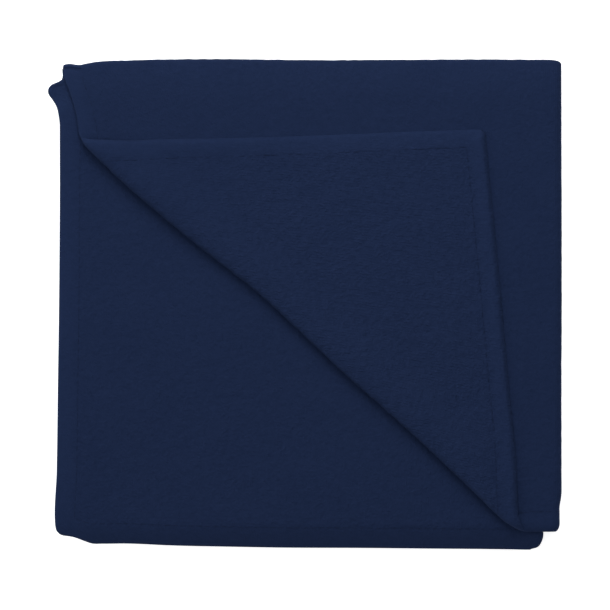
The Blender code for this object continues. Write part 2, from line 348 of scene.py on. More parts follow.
def shell(name, middle, normals, halves, faces, cloth_at, hem, loft_and_sheen, material):
    """A closed shell of cloth about a middle surface. Where the half thickness is 0, its two sides meet."""
    count = len(middle)
    up, down = halves
    shared = up + down < 1e-7
    lower = np.arange(count)
    lower[~shared] = count + np.arange(np.count_nonzero(~shared))
    top = loosen(middle + normals * up[:, None])
    bottom = loosen(middle - normals * down[:, None])
    points = np.concatenate([top, bottom[~shared]])
    made = [list(face) for face in faces]
    made += [[int(lower[corner]) for corner in reversed(face)] for face in faces]
    sharp = set()
    for first, second in open_edges(faces):
        if shared[first] and shared[second]:
            continue
        ring = [int(second), int(first), int(lower[first]), int(lower[second])]
        ring = [corner for place, corner in enumerate(ring) if corner != ring[place - 1]]
        made.append(ring)
        for index, corner in enumerate(ring):
            sharp.add(tuple(sorted((corner, ring[(index + 1) % len(ring)]))))
    mesh = bpy.data.meshes.new(name)
    mesh.from_pydata(points.tolist(), [], made)
    mesh.validate()
    keep = np.concatenate([np.arange(count), np.nonzero(~shared)[0]])
    corners = np.zeros(len(mesh.loops), np.int32)
    mesh.loops.foreach_get("vertex_index", corners)
    uv = mesh.uv_layers.new(name="cloth")
    uv.data.foreach_set("uv", cloth_at[keep][corners].astype(np.float32).ravel())
    for label, values in (("hem", hem), ("loft_and_sheen", loft_and_sheen)):
        mask = mesh.attributes.new(label, "FLOAT", "POINT")
        mask.data.foreach_set("value", values[keep].astype(np.float32))
    pairs = np.zeros(len(mesh.edges) * 2, np.int32)
    mesh.edges.foreach_get("vertices", pairs)
    pairs = np.sort(pairs.reshape(-1, 2), axis=1)
    flags = np.array([(int(a), int(b)) in sharp for a, b in pairs])
    mesh.shade_smooth()
    crease = mesh.attributes.get("sharp_edge") or mesh.attributes.new("sharp_edge", "BOOLEAN", "EDGE")
    crease.data.foreach_set("value", flags)
    check = bmesh.new()
    check.from_mesh(mesh)
    if check.calc_volume(signed=True) < 0:
        bmesh.ops.reverse_faces(check, faces=check.faces)
        check.to_mesh(mesh)
    check.free()
    return link_piece(name, mesh, material)


def grid_faces(rows, columns):
    index = np.arange(rows * columns).reshape(rows, columns)
    quads = [index[:-1, :-1], index[:-1, 1:], index[1:, 1:], index[1:, :-1]]
    return np.stack(quads, axis=-1).reshape(-1, 4).tolist()


def grid_normals(points):
    """Unit normals of a grid of points shaped rows, columns, 3."""
    across = np.cross(np.gradient(points, axis=1), np.gradient(points, axis=0))
    return across / np.linalg.norm(across, axis=-1, keepdims=True)


# -------------------- seams

STITCH = 4.2 * MM
THREAD = 0.16 * MM
THREAD_SINK = 0.13 * MM
THREAD_SIDES = 6

# One stitch: shares of its length, and the thread's rise there in millimetres
STITCH_SHAPE = [(0.02, -0.28), (0.12, 0.02), (0.30, 0.14), (0.70, 0.14), (0.88, 0.02), (0.98, -0.28)]


def stitch_rings(path, normals, half, side):
    """The centres and frames of one side's thread, which dips into the cloth between stitches."""
    steps = np.linalg.norm(np.diff(path, axis=0), axis=1)
    length = np.concatenate([[0], np.cumsum(steps)])
    count = max(1, int(length[-1] / STITCH))
    pitch = length[-1] / count
    at = np.array([(number + share) * pitch for number in range(count) for share, _ in STITCH_SHAPE])
    height = np.array([rise for _ in range(count) for _, rise in STITCH_SHAPE]) * MM
    centre = np.stack([np.interp(at, length, path[:, axis]) for axis in range(3)], axis=-1)
    normal = np.stack([np.interp(at, length, normals[:, axis]) for axis in range(3)], axis=-1)
    normal /= np.linalg.norm(normal, axis=1, keepdims=True)
    surface = np.interp(at, length, half)
    centre = centre + normal * side * (surface + height - THREAD_SINK)[:, None]
    tangent = np.gradient(centre, axis=0)
    tangent /= np.linalg.norm(tangent, axis=1, keepdims=True)
    sideways = np.cross(tangent, normal)
    sideways /= np.linalg.norm(sideways, axis=1, keepdims=True)
    return centre, sideways, np.cross(sideways, tangent)


def seam_piece(name, rows, material):
    """Both threads of every row of stitches, as closed tubes."""
    points = []
    faces = []
    start = 0
    turns = np.arange(THREAD_SIDES) * 2 * math.pi / THREAD_SIDES
    for path, normals, half in rows:
        for side in (1, -1):
            centre, sideways, upright = stitch_rings(path, normals, half, side)
            ring = (
                centre[:, None]
                + sideways[:, None] * np.cos(turns)[None, :, None] * THREAD
                + upright[:, None] * np.sin(turns)[None, :, None] * THREAD
            )
            count = len(centre)
            index = start + np.arange(count * THREAD_SIDES).reshape(count, THREAD_SIDES)
            turned_index = np.roll(index, -1, axis=1)
            walls = np.stack([index[:-1], turned_index[:-1], turned_index[1:], index[1:]], axis=-1)
            faces += walls.reshape(-1, 4).tolist()
            faces += [index[0][::-1].tolist(), index[-1].tolist()]
            points.append(ring.reshape(-1, 3))
            start += count * THREAD_SIDES
    mesh = bpy.data.meshes.new(name)
    mesh.from_pydata(loosen(np.concatenate(points)).tolist(), [], faces)
    mesh.shade_smooth()
    check = bmesh.new()
    check.from_mesh(mesh)
    bmesh.ops.recalc_face_normals(check, faces=check.faces)
    check.to_mesh(mesh)
    check.free()
    return link_piece(name, mesh, material)


# -------------------- materials

LOOP_SIZE = 1.15 * MM
PILE_SIZE = 1.7 * MM
CLUMP_SIZE = 3.3 * MM
RIB_PITCH = 0.89145 * MM
PATCH_SIZE = 26 * MM
TWIST_SIZE = 0.9 * MM
PILE_DEPTH = 0.32 * MM

CLOTH_DARK = (0.0066, 0.0132, 0.0385, 1.0)
CLOTH_LIGHT = (0.0134, 0.0236, 0.0635, 1.0)
# The hem's colours: less grain than the cloth's, and a little lighter, a painted highlight on the raised hem
HIGHLIT_HEM_DARK = (0.0078, 0.0153, 0.0440, 1.0)
HIGHLIT_HEM_LIGHT = (0.0130, 0.0232, 0.0628, 1.0)
THREAD_DARK = (0.0060, 0.0118, 0.0345, 1.0)
THREAD_LIGHT = (0.0092, 0.0168, 0.0470, 1.0)
SHEEN_BLUE = (0.45, 0.62, 1.0, 1.0)


def new_material(name):
    material = bpy.data.materials.new(name)
    material.use_nodes = True
    nodes = material.node_tree.nodes
    return material, nodes, material.node_tree.links, nodes["Principled BSDF"]


def cloth_material():
    """Navy microfibre: short looped pile in fine rows, a soft sheen, smoother turned hems painted a little
    lighter as a painted highlight, and painted sheen on the turned corner.
    """
    material, nodes, links, shader = new_material("towel_cloth")
    where = nodes.new("ShaderNodeUVMap")
    where.uv_map = "cloth"
    hem = nodes.new("ShaderNodeAttribute")
    hem.attribute_name = "hem"
    loft_and_sheen = nodes.new("ShaderNodeAttribute")
    loft_and_sheen.attribute_name = "loft_and_sheen"

    def noise(scale, detail, roughness):
        made = nodes.new("ShaderNodeTexNoise")
        made.inputs["Scale"].default_value = scale
        made.inputs["Detail"].default_value = detail
        made.inputs["Roughness"].default_value = roughness
        links.new(where.outputs["UV"], made.inputs["Vector"])
        return made.outputs["Fac"]

    def maths(operation, first, second):
        made = nodes.new("ShaderNodeMath")
        made.operation = operation
        for socket, value in zip(made.inputs, (first, second)):
            if isinstance(value, (int, float)):
                socket.default_value = value
            else:
                links.new(value, socket)
        return made.outputs["Value"]

    def mixed(factor, first, second):
        made = nodes.new("ShaderNodeMix")
        made.data_type = "RGBA"
        links.new(factor, made.inputs["Factor"])
        for socket, value in ((made.inputs[6], first), (made.inputs[7], second)):
            if isinstance(value, tuple):
                socket.default_value = value
            else:
                links.new(value, socket)
        return made.outputs[2]

    loops = nodes.new("ShaderNodeTexVoronoi")
    loops.inputs["Scale"].default_value = 1 / LOOP_SIZE
    loops.inputs["Randomness"].default_value = 0.8
    links.new(where.outputs["UV"], loops.inputs["Vector"])
    # A wave texture's bands repeat every pi / 10 at scale 1
    ribs = nodes.new("ShaderNodeTexWave")
    ribs.inputs["Scale"].default_value = math.pi / 10 / RIB_PITCH
    ribs.inputs["Distortion"].default_value = 1.2
    ribs.inputs["Detail"].default_value = 1.0
    links.new(where.outputs["UV"], ribs.inputs["Vector"])
    pile = noise(1 / PILE_SIZE, 4.0, 0.62)
    patches = noise(1 / PATCH_SIZE, 3.0, 0.55)
    clumps = noise(1 / CLUMP_SIZE, 2.0, 0.6)

    # Colour: broad uneven patches, a grain that is stronger where the cloth has more loft, and a painted
    # sheen: the cloth is painted lighter where it has more loft, most on the turned corner
    fluffy = maths("ADD", 1.0, maths("MULTIPLY", loft_and_sheen.outputs["Fac"], 0.6))
    grain = maths("ADD", maths("MULTIPLY", pile, 0.55), maths("MULTIPLY", clumps, 0.45))
    grain = maths("MULTIPLY", maths("SUBTRACT", grain, 0.5), fluffy)
    tone = maths("ADD", maths("MULTIPLY", patches, 0.25), 0.375)
    # Painted sheen: lighter by the loft share, most on the turned corner, whose nap lies the other way
    tone = maths("ADD", tone, maths("MULTIPLY", loft_and_sheen.outputs["Fac"], 0.13))
    tone = maths("ADD", tone, grain)
    plain = mixed(tone, CLOTH_DARK, CLOTH_LIGHT)
    # On a hem the colour has a narrower range and is a little lighter: a painted highlight
    highlit_hem = mixed(tone, HIGHLIT_HEM_DARK, HIGHLIT_HEM_LIGHT)
    links.new(mixed(hem.outputs["Fac"], plain, highlit_hem), shader.inputs["Base Color"])

    rough = nodes.new("ShaderNodeMapRange")
    rough.inputs["To Min"].default_value = 0.86
    rough.inputs["To Max"].default_value = 0.98
    links.new(pile, rough.inputs["Value"])
    links.new(rough.outputs["Result"], shader.inputs["Roughness"])

    # Relief: loops, pile, ribs and clumps, flatter on a hem and deeper where there is more loft
    cover = maths("SUBTRACT", 1.0, maths("MULTIPLY", hem.outputs["Fac"], 0.35))
    lumps = maths("ADD", maths("MULTIPLY", loops.outputs["Distance"], -0.5), pile)
    lumps = maths("ADD", lumps, maths("MULTIPLY", ribs.outputs["Fac"], 0.16))
    lumps = maths("ADD", lumps, maths("MULTIPLY", clumps, 1.2))
    bump = nodes.new("ShaderNodeBump")
    bump.inputs["Strength"].default_value = 1.0
    bump.inputs["Distance"].default_value = PILE_DEPTH
    links.new(maths("MULTIPLY", maths("MULTIPLY", lumps, cover), fluffy), bump.inputs["Height"])
    links.new(bump.outputs["Normal"], shader.inputs["Normal"])

    shader.inputs["Specular IOR Level"].default_value = 0.03
    shader.inputs["Sheen Weight"].default_value = 0.03
    shader.inputs["Sheen Roughness"].default_value = 0.45
    shader.inputs["Sheen Tint"].default_value = SHEEN_BLUE
    return material


def thread_material():
    """Navy sewing thread, a little uneven in colour."""
    material, nodes, links, shader = new_material("seam_thread")
    twist = nodes.new("ShaderNodeTexNoise")
    twist.inputs["Scale"].default_value = 1 / TWIST_SIZE
    place = nodes.new("ShaderNodeTexCoord")
    links.new(place.outputs["Object"], twist.inputs["Vector"])
    shade = nodes.new("ShaderNodeMix")
    shade.data_type = "RGBA"
    links.new(twist.outputs["Fac"], shade.inputs["Factor"])
    shade.inputs[6].default_value = THREAD_DARK
    shade.inputs[7].default_value = THREAD_LIGHT
    links.new(shade.outputs[2], shader.inputs["Base Color"])
    shader.inputs["Roughness"].default_value = 0.8
    shader.inputs["Specular IOR Level"].default_value = 0.05
    return material


CLOTH = cloth_material()
SEAM = thread_material()

# -------------------- paired layers, joined at the back

BEND_STEPS = 10
STRIP_POINTS = 88
OUTER_RING_POINTS = 90
INNER_RING_POINTS = 40

# A distance beyond any on the towel
FAR = 1.0


def tuck_corner(points):
    """The packet's back left corner is drawn in under the top leaf."""
    x, y = points[:, 0], points[:, 1]
    near_left = smooth(-x, 100 * MM, 124 * MM)
    near_back = smooth(y, 104 * MM, 119 * MM)
    points[:, 0] += 3.6 * MM * near_left * near_back
    points[:, 1] -= 2.4 * MM * smooth(-x, 104 * MM, 116 * MM) * smooth(y, 92 * MM, 122 * MM)
    return points


def paired(name, outer, inner, fronts, spacing, cloth_u, pile, free_left=None, back=None):
    """Two layers lying on each other and joined by a soft bend along the back.

    outer and inner are each layer's path in x and z; fronts are each layer's free front edge, one y
    for every point of the path; free_left is the distance from a free side edge, if there is one.
    """
    outer_front, inner_front = fronts
    back = np.full(len(outer), BACK) if back is None else back
    outer_rows = stations(BACK - outer_front.mean(), spacing, free_start=True)
    inner_rows = stations(BACK - inner_front.mean(), spacing, free_end=True)
    turns = np.linspace(0, math.pi, BEND_STEPS)[1:-1]
    side = np.concatenate([np.ones(len(outer_rows)), np.cos(turns), -np.ones(len(inner_rows))])
    middle = (outer + inner) / 2
    reach = (outer - inner) / 2
    flat_x = middle[:, 0][None] + reach[:, 0][None] * side[:, None]
    flat_z = middle[:, 1][None] + reach[:, 1][None] * side[:, None]
    outer_y = outer_front[None] + (outer_rows / outer_rows[-1])[:, None] * (back - outer_front)[None]
    bend_y = back[None] + BACK_SWELL * np.sin(turns)[:, None]
    share = 1 - (inner_rows / inner_rows[-1])[:, None]
    inner_y = inner_front[None] + share * (back - inner_front)[None]
    points = np.stack([flat_x, np.concatenate([outer_y, bend_y, inner_y]), flat_z], axis=-1)
    rows, columns = points.shape[:2]
    points = tuck_corner(points.reshape(-1, 3)).reshape(rows, columns, 3)
    edge_rows = np.concatenate([outer_rows, np.full(len(turns), FAR), inner_rows[-1] - inner_rows])
    edge = np.repeat(edge_rows[:, None], columns, axis=1)
    if free_left is not None:
        edge = np.minimum(edge, free_left[None])
    cloth_v = np.concatenate([outer_rows - outer_rows[-1], turns * BACK_SWELL, NOMINAL_ARC + inner_rows])
    cloth_at = np.stack(
        [np.repeat(cloth_u[None], rows, axis=0), np.repeat(cloth_v[:, None], columns, axis=1)], axis=-1
    ).reshape(-1, 2)
    half, in_hem = cloth_halves(edge.ravel(), HIDDEN_HEM, pile, cloth_at)
    normals = grid_normals(points)
    piece = shell(
        name, points.reshape(-1, 3), normals.reshape(-1, 3), (half, half),
        grid_faces(rows, columns), cloth_at, in_hem, np.zeros(len(in_hem)), CLOTH,
    )
    half = half.reshape(rows, columns)
    outer_seam = nearest(outer_rows, SEAM_AT)
    inner_seam = rows - len(inner_rows) + nearest(edge_rows[-len(inner_rows):], SEAM_AT)
    seams = [(points[row], normals[row], half[row]) for row in (outer_seam, inner_seam)]
    if free_left is not None:
        column = nearest(free_left, SEAM_AT)
        kept = edge_rows > HEM_WIDTH
        seams.append((points[kept, column], normals[kept, column], half[kept, column]))
    return piece, seams


def half_ring(x, low, high, reach, count, squareness=1.0):
    """A layer's path round a side fold, from its lower level to its upper one."""
    radius = (high - low) / 2
    angle = np.linspace(-math.pi / 2, math.pi / 2, count)
    wide = np.abs(np.cos(angle)) ** squareness
    tall = np.sign(np.sin(angle)) * np.abs(np.sin(angle)) ** squareness
    ring = np.stack([x + reach + radius * wide, (low + high) / 2 + radius * tall], -1)
    if reach == 0:
        return ring
    legs = np.linspace(x, x + reach, 6)[:-1]
    below = np.stack([legs, np.full(len(legs), low)], -1)
    above = np.stack([legs[::-1], np.full(len(legs), high)], -1)
    return np.concatenate([below, ring, above])


def spread(path, count):
    """The path again, as this many evenly spaced points."""
    steps = np.linalg.norm(np.diff(path, axis=0), axis=1)
    length = np.concatenate([[0], np.cumsum(steps)])
    at = np.linspace(0, length[-1], count)
    return np.stack([np.interp(at, length, path[:, 0]), np.interp(at, length, path[:, 1])], -1)


def strip_path(low, high):
    """A layer's path from the right, round its left fold and back to where the inner wrap takes over."""
    ring = half_ring(-LEFT_TANGENT, low, high, reach=0, count=15) * np.array([-1.0, 1.0])
    below = np.stack([np.linspace(RIGHT, LEFT_TANGENT, STRIP_POINTS), np.full(STRIP_POINTS, low)], -1)
    above = np.stack([np.linspace(LEFT_TANGENT, INNER_CUT, STRIP_POINTS), np.full(STRIP_POINTS, high)], -1)
    return np.concatenate([below[:-1], ring, above[1:]])


def make_lower_cloth():
    """Leaves 1 to 4 with their left folds: a doubled strip rolled over once."""
    outer = strip_path(LEVEL_Z[1], LEVEL_Z[4])
    inner = strip_path(LEVEL_Z[2], LEVEL_Z[3])
    steps = np.linalg.norm(np.diff(outer, axis=0), axis=1)
    wrap = math.pi * OUTER_RADIUS + 2 * OUTER_REACH
    cloth_u = RIGHT + wrap + np.concatenate([[0], np.cumsum(steps)])
    short = np.full(len(outer), SHORT_FRONT) + 0.5 * MM * field(outer[:, 0], outer[:, 1], 60 * MM, seed=31)
    long = np.maximum(
        line_y(FRONT_OF_LONG, inner[:, 0]) + 0.4 * MM, line_y(FRONT_OF_LONG, inner[:, 0] + 2 * MM)
    )
    return paired("lower_cloth", outer, inner, (short, long), 2.75 * MM, cloth_u, UNDERSIDE_PILE)


def make_outer_wrap():
    """The last fold's two outer layers, 8 to 1 and 7 to 2."""
    outer = half_ring(RIGHT, LEVEL_Z[1], LEVEL_Z[8], OUTER_REACH, OUTER_RING_POINTS, SQUARENESS)
    inner = half_ring(RIGHT, LEVEL_Z[2], LEVEL_Z[7], WRAP_EASE, OUTER_RING_POINTS, SQUARENESS)
    outer = spread(outer, OUTER_WRAP_POINTS)
    inner = spread(inner, OUTER_WRAP_POINTS)
    length = math.pi * OUTER_RADIUS + 2 * OUTER_REACH
    cloth_u = RIGHT + np.linspace(length, 0, OUTER_WRAP_POINTS)
    step = np.arange(OUTER_WRAP_POINTS)
    last = OUTER_WRAP_POINTS - 1
    top_front = FRONT_OF_TOP[-1, 1]
    top_back = BACK_OF_TOP[-1, 1]
    short = eased([0, 14, 30, 38, last], [SHORT_FRONT, SHORT_FRONT, top_front, top_front, top_front], step)
    drawn_in = in_metres([0.4, 0.4, 2.4, 1.2, 0.1, 0])
    long = line_y(FRONT_OF_LONG, RIGHT) + eased([0, 8, 22, 32, 38, last], drawn_in, step)
    back = eased([0, 12, 30, last], [BACK, BACK, top_back, top_back], step)
    return paired("outer_wrap", outer, inner, (short, long), 1.4 * MM, cloth_u, SIDE_PILE, back=back)


def make_inner_wrap():
    """The last fold's two inner layers, 6 to 3 and 5 to 4, with a short flat leg at each end."""
    leg = RIGHT - INNER_CUT
    outer = spread(half_ring(INNER_CUT, LEVEL_Z[3], LEVEL_Z[6], leg, INNER_RING_POINTS), INNER_WRAP_POINTS)
    inner = spread(half_ring(INNER_CUT, LEVEL_Z[4], LEVEL_Z[5], leg, INNER_RING_POINTS), INNER_WRAP_POINTS)
    cloth_u = np.linspace(INNER_WRAP_LENGTH, 0, INNER_WRAP_POINTS)
    short = np.full(INNER_WRAP_POINTS, SHORT_FRONT)
    long = line_y(FRONT_OF_LONG, outer[:, 0])
    return paired("inner_wrap", inner, outer, (short, long), 2.0 * MM, cloth_u, HIDDEN_PILE)


def make_middle_leaves():
    """Leaves 5 and 6, joined at the back."""
    columns = stations(INNER_CUT - FREE_LEFT[5], 2.4 * MM, free_start=True)
    share = columns / columns[-1]
    lower, upper = (
        np.stack([
            FREE_LEFT[level] + share * (INNER_CUT - FREE_LEFT[level]), np.full(len(share), LEVEL_Z[level])
        ], -1)
        for level in (5, 6)
    )
    short = np.full(len(share), SHORT_FRONT) + 0.5 * MM * field(columns, columns, 50 * MM, seed=33)
    long = line_y(FRONT_OF_LONG, upper[:, 0]) + 0.3 * MM
    return paired(
        "middle_leaves", lower, upper, (short, long), 2.4 * MM, columns + MIDDLE_LEFT, HIDDEN_PILE,
        free_left=columns,
    )


# -------------------- the two visible leaves

SEVENTH_LOFT = 0.3
SEVENTH_SPACING = 1.42 * MM
TOP_SPACING = 1.45 * MM
SEAM_POINTS = 460

# The flat top leaf is cut along lines at these distances from the fold line, so that the roll bends
# at them
ROLL_CUTS = np.concatenate([
    in_metres([-1.6, -0.6, 0]),
    np.arange(0.4, 4.9, 0.4) * MM,
    np.linspace(5.4 * MM, 12.6 * MM, 7),
    [ROLL],
])


def patch(left, front, back, share_u, share_v):
    """Points of a leaf inside four edges, the right one straight."""
    left_at = edge_curve(left, share_v)
    front_at = edge_curve(front, share_u)
    back_at = edge_curve(back, share_u)
    front_left, front_right, back_left, back_right = front[0], front[-1], back[0], back[-1]
    right_y = front_right[1] + share_v * (back_right[1] - front_right[1])
    right_at = np.stack([np.full(share_v.shape, RIGHT), right_y], -1)
    u = share_u[..., None]
    v = share_v[..., None]
    shared = (
        (1 - u) * (1 - v) * front_left + u * (1 - v) * front_right
        + (1 - u) * v * back_left + u * v * back_right
    )
    return (1 - v) * front_at + v * back_at + (1 - u) * left_at + u * right_at - shared


def make_seventh_leaf():
    """The leaf that shows at the lower left, under the diagonal."""
    width = RIGHT - SEVENTH_LEFT
    depth = BACK - SEVENTH_FRONT
    columns = stations(width, SEVENTH_SPACING, free_start=True)
    rows = stations(depth, SEVENTH_SPACING, free_start=True)
    u, v = round_corner(*np.meshgrid(columns, rows), CORNER_ROUND)
    plan = patch(LEFT_OF_SEVENTH, FRONT_OF_LONG, BACK_OF_TOP, u / width, v / depth)
    points = np.concatenate([plan, np.full(plan.shape[:2] + (1,), LEVEL_Z[7])], axis=-1)
    x, y = plan[..., 0], plan[..., 1]
    # The ear at the back left and the front left corner hang down
    ear = smooth(-x, 121 * MM, 131 * MM) * smooth(y, 100 * MM, 108 * MM) * (1 - smooth(y, 113 * MM, 119 * MM))
    points[..., 2] -= 2.6 * MM * ear
    corner = smooth(-x, 108 * MM, 127 * MM) * (1 - smooth(y, -122 * MM, -104 * MM))
    points[..., 2] -= 1.1 * MM * corner
    edge = np.minimum(columns[None], rows[:, None]).ravel()
    cloth_u, cloth_v = np.meshgrid(columns + SEVENTH_LEFT, rows + SEVENTH_FRONT)
    cloth_at = np.stack([cloth_u, cloth_v], axis=-1).reshape(-1, 2) + SEVENTH_SHIFT
    up, in_hem = cloth_halves(edge, SEVENTH_HEM, SHOWN_PILE, cloth_at)
    down, _ = cloth_halves(edge, HIDDEN_HEM, HIDDEN_PILE, cloth_at)
    normals = grid_normals(points)
    piece = shell(
        "seventh_leaf", points.reshape(-1, 3), normals.reshape(-1, 3), (up, down),
        grid_faces(len(rows), len(columns)), cloth_at, in_hem, np.full(len(in_hem), SEVENTH_LOFT), CLOTH,
    )
    up = up.reshape(len(rows), len(columns))
    row = nearest(rows, SEAM_AT)
    column = nearest(columns, SEAM_AT)
    kept_columns = columns > HEM_WIDTH
    kept_rows = rows > SEAM_AT
    return piece, [
        (points[row, kept_columns], normals[row, kept_columns], up[row, kept_columns]),
        (points[kept_rows, column], normals[kept_rows, column], up[kept_rows, column]),
    ]


def ellipse_table(flatness):
    """Angles round a quarter of an ellipse at even steps of its length, from its end to its top."""
    angle = np.linspace(0, math.pi / 2, 200)
    pace = np.hypot(np.sin(angle), flatness * np.cos(angle))
    length = np.concatenate([[0], np.cumsum((pace[1:] + pace[:-1]) / 2)])
    return length / length[-1], angle


TOP_LENGTHS, TOP_ANGLES = ellipse_table(0.25)


def roll_profile(across, radius, height, reach):
    """How far out and how high the cloth lies at a distance past the fold line.

    It turns upwards with the radius, comes back over a quarter of an ellipse to its full height, and
    then settles on the top leaf.
    """
    under = math.pi / 2 * radius
    over = 1.07 * reach
    angle = np.clip(across / radius, 0, math.pi / 2)
    top = np.interp((across - under) / over, TOP_LENGTHS, TOP_ANGLES)
    out = np.where(across < under, radius * np.sin(angle), radius - reach + reach * np.cos(top))
    rise = np.where(across < under, radius * (1 - np.cos(angle)), radius + (height - radius) * np.sin(top))
    rolled = under + over
    settle = ROLL - rolled
    settled = np.clip((across - rolled) / settle, 0, 1)
    out = out + (NOMINAL_ARC - rolled - settle - radius + reach) * settled
    out = out - np.maximum(across - rolled - settle, 0)
    rise = rise + (CORNER_LIFT - rise) * smooth(settled, 0, 1)
    return np.where(across <= 0, across, out), rise


def turned(flat):
    """Where points of the flat top leaf lie: its back bent down to leaf 7, its free corner rolled over."""
    offset = flat - FOLD_POINT
    along = offset @ ALONG
    across = offset @ OUTWARD
    radius = eased(ROLL_AT, ROLL_RADIUS, along)
    height = eased(ROLL_AT, ROLL_HEIGHT, along)
    from_left = flat[:, 0] - line_x(LEFT_OF_TOP, flat[:, 1])
    from_front = flat[:, 1] - line_y(FRONT_OF_TOP, flat[:, 0])
    free = smooth(np.minimum(from_left, from_front), 1 * MM, 18 * MM)
    low = LOW_END + (RAISED_END - LOW_END) * smooth(-along, 60 * MM, 110 * MM)
    height = low + (height - low) * free
    radius = np.minimum(radius, height / 2.2)
    out, rise = roll_profile(across, radius, height, eased(ROLL_AT, ROLL_REACH, along))
    # The cloth near the roll moves out with its edge, but not by the right fold
    bow = eased(ROLL_AT, ROLL_EDGE, along) - radius - PLY / 2
    fade = (1 - smooth(np.abs(out), 4 * MM, 30 * MM)) * (1 - smooth(flat[:, 0], 100 * MM, 114 * MM))
    plan = FOLD_POINT + ALONG * along[:, None] + OUTWARD * (out + bow * fade)[:, None]
    z = LEVEL_Z[8] + rise
    back_line = line_y(BACK_OF_TOP, flat[:, 0])
    bent = np.clip((flat[:, 1] - back_line) / BACK_SWELL, 0, math.pi)
    past = (flat[:, 1] > back_line) & (across < 0)
    plan[:, 1] = np.where(past, back_line + BACK_SWELL * np.sin(bent), plan[:, 1])
    z = np.where(past, LEVEL_Z[8] - PITCH / 2 * (1 - np.cos(bent)), z)
    return np.concatenate([plan, z[:, None]], axis=1)


def turned_normals(flat):
    step = 0.04 * MM
    east = turned(flat + [step, 0]) - turned(flat - [step, 0])
    north = turned(flat + [0, step]) - turned(flat - [0, step])
    normal = np.cross(east, north)
    return normal / np.linalg.norm(normal, axis=1, keepdims=True)


def top_plan(u, v):
    """The flat top leaf's points at these distances from its left and front edges."""
    u, v = round_corner(u, v, CORNER_ROUND)
    return patch(LEFT_OF_TOP, FRONT_OF_TOP, BACK_OF_TOP, u / TOP_WIDTH, v / TOP_DEPTH)


def flat_top_leaf():
    """The flat top leaf with its cuts: points in plan, their places on the cloth, and faces."""
    columns = stations(TOP_WIDTH, TOP_SPACING, free_start=True)
    rows = stations(TOP_DEPTH, TOP_SPACING, free_start=True)
    plan = top_plan(*np.meshgrid(columns, rows))
    bend = np.linspace(0, math.pi * BACK_SWELL, 11)[1:]
    extra = plan[-1][None] + np.stack([np.zeros(len(bend)), bend], -1)[:, None]
    plan = np.concatenate([plan, extra])
    rows = np.concatenate([rows, TOP_DEPTH + bend])
    cloth_u, cloth_v = np.meshgrid(columns + TOP_LEFT, rows - TOP_DEPTH)
    work = bmesh.new()
    layer_u = work.verts.layers.float.new("cloth_u")
    layer_v = work.verts.layers.float.new("cloth_v")
    verts = []
    for (x, y), u, v in zip(plan.reshape(-1, 2), cloth_u.ravel(), cloth_v.ravel()):
        vert = work.verts.new((x, y, 0))
        vert[layer_u] = u
        vert[layer_v] = v
        verts.append(vert)
    for face in grid_faces(len(rows), len(columns)):
        work.faces.new([verts[corner] for corner in face])
    normal = Vector((OUTWARD[0], OUTWARD[1], 0))
    for across in ROLL_CUTS:
        place = FOLD_POINT + OUTWARD * across
        everything = work.verts[:] + work.edges[:] + work.faces[:]
        bmesh.ops.bisect_plane(
            work, geom=everything, dist=0.02 * MM, plane_co=(place[0], place[1], 0), plane_no=normal
        )
    work.verts.index_update()
    flat = np.array([vert.co[:2] for vert in work.verts])
    cloth_at = np.array([(vert[layer_u], vert[layer_v]) for vert in work.verts])
    faces = [[vert.index for vert in face.verts] for face in work.faces]
    work.free()
    return flat, cloth_at, faces


# The turned corner's edge lies this far from its middle surface, towards the leaf under it
RIM_DROP = PLY / 2 - 0.12 * MM


def lofty_half(edge, across, by_apex, cloth_at):
    """Half the turned corner's thickness on the face that shows once it is turned.

    Its rim slopes down to the leaf it lies on, gently along its back hem and steeply along its side
    hem. The side hem swells, and the back hem stands up beside the roll's upper left end, where
    by_apex is 1.
    """
    from_back_hem = cloth_at[:, 0] - TOP_LEFT
    by_side = smooth(from_back_hem - cloth_at[:, 1] - TOP_DEPTH, -4 * MM, 4 * MM)
    raised = np.clip(edge / SIDE_RAMP, 0, 1)
    raised = raised * (2 - raised)
    ramp_width = (BACK_RAMP - 3.0 * MM * by_apex) * (1 - by_side) + SIDE_RAMP * by_side
    share = np.clip(edge / ramp_width, 0, 1)
    ramp = 0.5 * raised + 0.5 * share * (1.3 - 0.3 * share)
    face, _ = cloth_halves(edge + RIM, 0.0, LOFTY_PILE, cloth_at + OTHER_FACE)
    back_crest = 0.08 * MM * (1 - smooth(edge, 6 * MM, 12 * MM))
    side_height = 0.36 * MM + 0.36 * MM * smooth(across, 8 * MM, 20 * MM)
    side_crest = side_height * (1 - smooth(edge, 2 * MM, 10.5 * MM))
    crest = back_crest * (1 - by_side) + side_crest * by_side
    ridge = 0.6 * MM * (1 - smooth(from_back_hem, 2 * MM, 12 * MM)) * by_apex
    return -RIM_DROP + (RIM_DROP + face + crest) * ramp + ridge * raised


